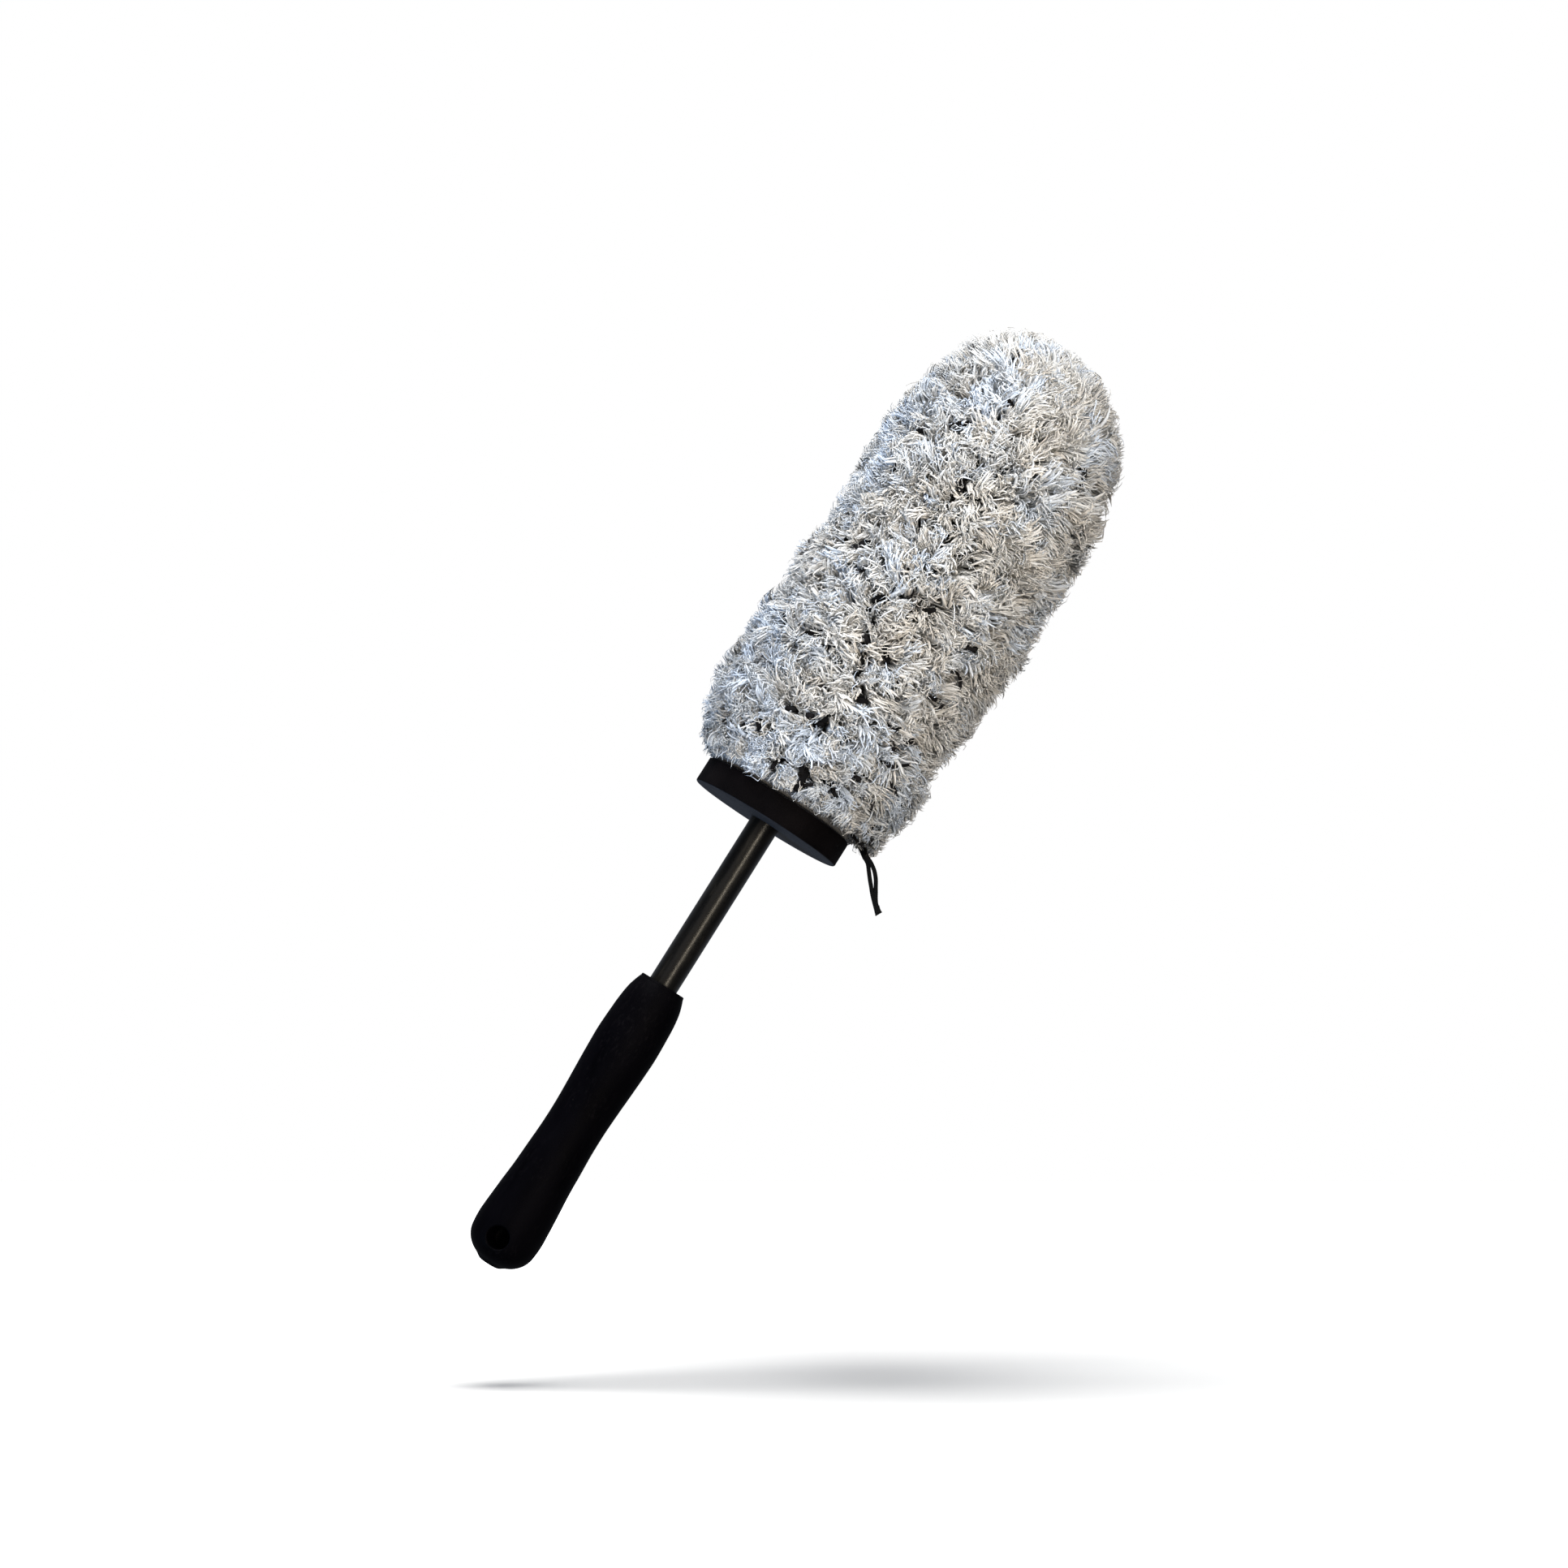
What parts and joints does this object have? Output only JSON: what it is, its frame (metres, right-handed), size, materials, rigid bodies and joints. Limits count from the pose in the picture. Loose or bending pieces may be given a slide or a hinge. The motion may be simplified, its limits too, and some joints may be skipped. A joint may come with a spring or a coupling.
{
  "type": "wheel brush",
  "caption": "Hand brush with a soft grip, straight tube, foam hand guard and a long padded core wearing a removable deep-pile fabric sleeve with a drawcord.",
  "frame": {"origin": "centre of the flat butt at the end of the grip", "axes": "+Z along the shaft from the butt to the tip of the pile head, +X towards the side where the drawcord leaves the hem, +Y away from the viewer of the front"},
  "size_m": [0.115, 0.106, 0.457],
  "materials": {
    "grip_rubber": "matte",
    "hard_plastic": "satin",
    "steel": "satin",
    "tube_black": "gloss",
    "guard_foam": "matte",
    "core_foam": "matte",
    "backing_cloth": "matte",
    "pile": "matte",
    "hem_cloth": "matte",
    "cord": "matte"
  },
  "bodies": {
    "handle": {"grip_skin": "grip_rubber", "grip_insert": "hard_plastic", "grip_pin": "steel", "shaft_tube": "tube_black", "tube_end_plug": "hard_plastic", "core_lower_flange": "hard_plastic", "flange_grub_screw": "steel", "core_foam": "core_foam", "core_upper_flange": "hard_plastic", "tube_top_insert": "steel", "top_washer": "steel", "top_screw": "steel", "core_nose": "core_foam"},
    "guard": {"guard_disc": "guard_foam"},
    "cover": {"seam_tape": "backing_cloth", "backing_front": "backing_cloth", "backing_back": "backing_cloth", "pile_front": "pile", "pile_back": "pile", "hem_tape": "hem_cloth", "hem_tape_end": "hem_cloth", "drawcord_ring": "cord"},
    "cord_slider": {"drawcord_neck": "cord"},
    "cord_loop": {"drawcord_loop": "cord", "drawcord_end": "cord"}
  },
  "joints": [
    {"name": "guard_slide", "type": "slide", "parent": "handle", "child": "guard", "axis": [0, 0, 1], "range_m": [-0.08, 0]},
    {"name": "cover_slide", "type": "slide", "parent": "handle", "child": "cover", "axis": [0, 0, 1], "range_m": [0, 0.21]},
    {"name": "cord_pull", "type": "slide", "parent": "cover", "child": "cord_slider", "axis": [0.7187, 0, -0.6953], "range_m": [0, 0.025]},
    {"name": "cord_swing", "type": "hinge", "parent": "cord_slider", "child": "cord_loop", "pos_m": [0.0447, 0, 0.2262], "axis": [0, 1, 0], "range_deg": [-38, 44]}
  ]
}
